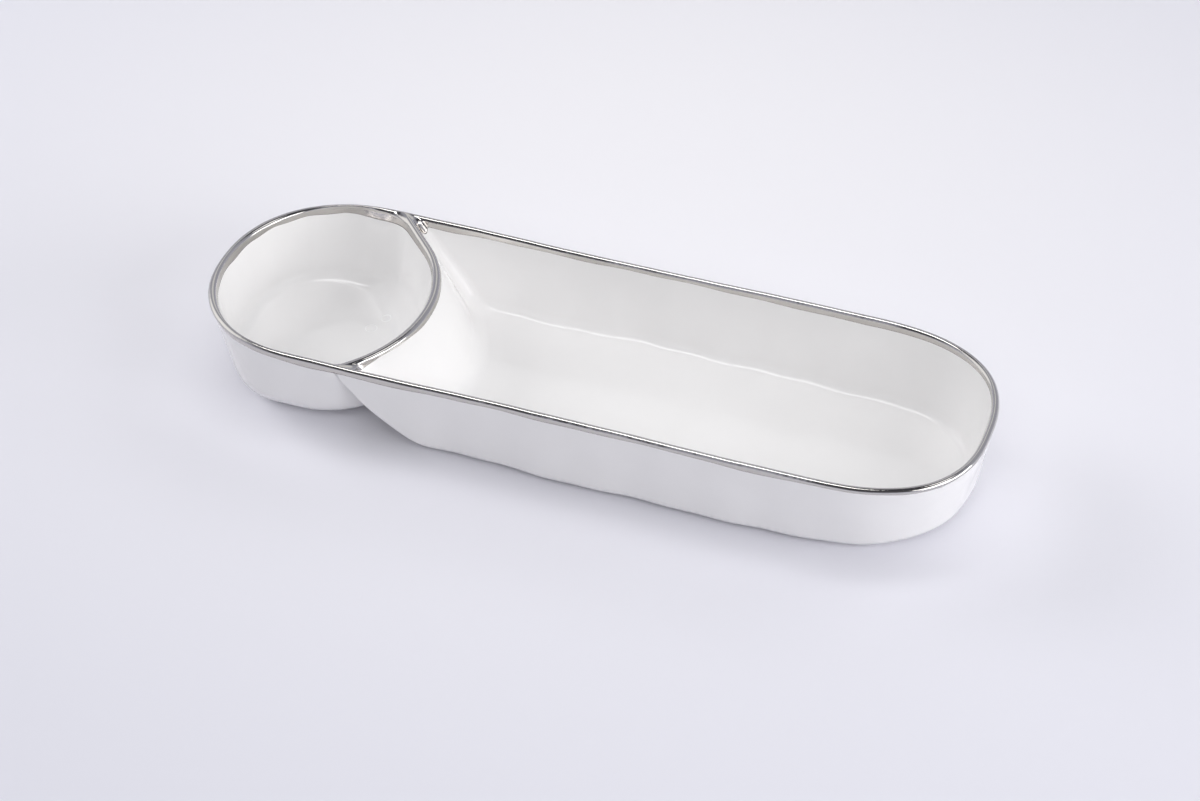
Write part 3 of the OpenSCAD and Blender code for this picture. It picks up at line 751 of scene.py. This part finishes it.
camera = dict(azimuth=20.1527, elevation=40.5304, distance=0.8438, target=(0.0006454, 0.008545, 0.0),
              lens=66, sensor=36, clip=(0.01, 50))
az, el = math.radians(camera["azimuth"]), math.radians(camera["elevation"])
back = Vector((math.sin(az)*math.cos(el), -math.cos(az)*math.cos(el), math.sin(el)))
eye = placed("camera", bpy.data.cameras.new("camera"))
eye.location = Vector(camera["target"]) + back*camera["distance"]
eye.rotation_euler = back.to_track_quat("Z", "Y").to_euler()
eye.data.lens, eye.data.sensor_width, eye.data.sensor_fit = camera["lens"], camera["sensor"], "HORIZONTAL"
eye.data.clip_start, eye.data.clip_end = camera["clip"]
bpy.context.scene.camera = eye

# Softboxes all round light the dish evenly, those at the sides the most;
# only the two at the right show in the metal
softboxes = dict(overhead=dict(at=(-0.05, 0.12, 1.2), size=(1.0, 0.3), level=0.2, mirrored=False),
                 rightFront=dict(at=(1.1, -0.35, 0.55), size=(0.7, 0.6), level=0.28, mirrored=True),
                 rightLow=dict(at=(1.2, 0.1, 0.3), size=(0.7, 0.4), level=0.25, mirrored=True),
                 left=dict(at=(-1.1, 0.1, 0.6), size=(0.7, 0.6), level=0.38, mirrored=False),
                 front=dict(at=(0.2, -0.9, 1.0), size=(0.9, 0.6), level=0.25, mirrored=False),
                 back=dict(at=(-0.1, 1.1, 0.7), size=(0.9, 0.6), level=0.11, mirrored=False),
                 backRight=dict(at=(0.75, 0.85, 0.8), size=(0.7, 0.6), level=0.13, mirrored=False))
for name, box in softboxes.items():
    lamp = bpy.data.lights.new(name, "AREA")
    lamp.shape, lamp.size, lamp.size_y = "RECTANGLE", box["size"][0], box["size"][1]
    away = Vector(box["at"])
    # at level 1 it lights a white card that faces it to white
    lamp.energy = box["level"]*math.pi**2*away.length_squared
    stand = placed(name, lamp)
    stand.location = away
    stand.rotation_euler = away.to_track_quat("Z", "Y").to_euler()
    stand.visible_glossy = box["mirrored"]

# Studio round the table, as the metal and the glaze show it: pale low walls, a dark ceiling, gear and lights
studio = dict(ambient="#6d6d70", pale="#e8e8f0", low="#d8dae8", mid="#b2b4bf", midEdge=(0.2, 0.4),
              ceiling="#4a4a50", ceilingEdge=(0.72, 0.84), gapAt=-0.2, gapEdge=(0.03, 0.09),
              gear="#56565a", gearAt=(-0.12, -0.74, 0.66), gearEdge=(0.76, 0.88),
              flagAt=(0.52, -0.5, 0.69), flagEdge=(0.88, 0.94),
              glow=1.3, glowAt=(-0.87, 0.08, 0.48), glowEdge=(0.86, 0.97),
              scrim=0.88, scrimAt=(-0.26, 0.755, 0.602), scrimEdge=(0.980, 0.993),
              panel=5.6, panelAt=(-0.116, 0.0, 0.993), panelEdge=(0.986, 0.9945),
              panelStretch=(0.4, 1.0, 1.0),
              lamp=2.2, lampAt=(0.37, 0.3, 0.88), lampEdge=(0.985, 0.996))


def studioWorld():
    world = bpy.data.worlds.new("studio")
    world.use_nodes = True
    tree = world.node_tree
    add = partial(addNode, tree)
    toward = add("ShaderNodeTexCoord").outputs["Generated"]
    parted = add("ShaderNodeSeparateXYZ", (toward,))
    sideways, rise = parted.outputs["X"], parted.outputs["Z"]

    def ease(value, edge):
        return add("ShaderNodeMapRange", {0: value, 1: edge[0], 2: edge[1], 3: 0.0, 4: 1.0},
                   interpolation_type="SMOOTHSTEP")

    def facing(way, name):
        turned = add("ShaderNodeVectorMath", (way, studio[name + "At"]), operation="DOT_PRODUCT")
        return ease(turned.outputs["Value"], studio[name + "Edge"])

    # walls that darken upwards, dark gear with a gap behind the camera, a dark flag at its right,
    # the left softbox's glow, a bright scrim at the back, a long bright panel overhead and a lamp beside it
    walls = add("ShaderNodeMix", {0: ease(rise, studio["midEdge"]), 6: linear(studio["low"]),
                                  7: linear(studio["mid"])}, data_type="RGBA")
    fromGap = add("ShaderNodeMath", (sideways, studio["gapAt"]), operation="SUBTRACT")
    offGap = ease(add("ShaderNodeMath", (fromGap,), operation="ABSOLUTE"), studio["gapEdge"])
    high = add("ShaderNodeMath", (ease(rise, studio["ceilingEdge"]), offGap), operation="MULTIPLY")
    walls = add("ShaderNodeMix", {0: high, 6: walls.outputs[2], 7: linear(studio["ceiling"])},
                data_type="RGBA")
    solid = add("ShaderNodeMath", (facing(toward, "gear"), offGap), operation="MULTIPLY")
    solid = add("ShaderNodeMath", (solid, facing(toward, "flag")), operation="MAXIMUM")
    seen = add("ShaderNodeMix", {0: solid, 6: walls.outputs[2], 7: linear(studio["gear"])}, data_type="RGBA")
    squeezed = add("ShaderNodeVectorMath", (toward, studio["panelStretch"]), operation="MULTIPLY")
    overhead = add("ShaderNodeVectorMath", (squeezed,), operation="NORMALIZE")
    for way, name in ((toward, "glow"), (toward, "scrim"), (overhead, "panel"), (toward, "lamp")):
        seen = add("ShaderNodeMix", {0: facing(way, name), 6: seen.outputs[2], 7: (studio[name],)*3 + (1.0,)},
                   data_type="RGBA")
    path = add("ShaderNodeLightPath")
    lit = add("ShaderNodeMix", {0: path.outputs["Is Glossy Ray"], 6: linear(studio["ambient"]),
                                7: seen.outputs[2]}, data_type="RGBA")
    shown = add("ShaderNodeMix", {0: path.outputs["Is Camera Ray"], 6: lit.outputs[2],
                                  7: linear(studio["pale"])}, data_type="RGBA")
    feed(tree, tree.nodes["Background"], {"Color": shown.outputs[2]})
    bpy.context.scene.world = world


studioWorld()
bpy.context.scene.view_settings.view_transform = "Standard"
print("studio ready")
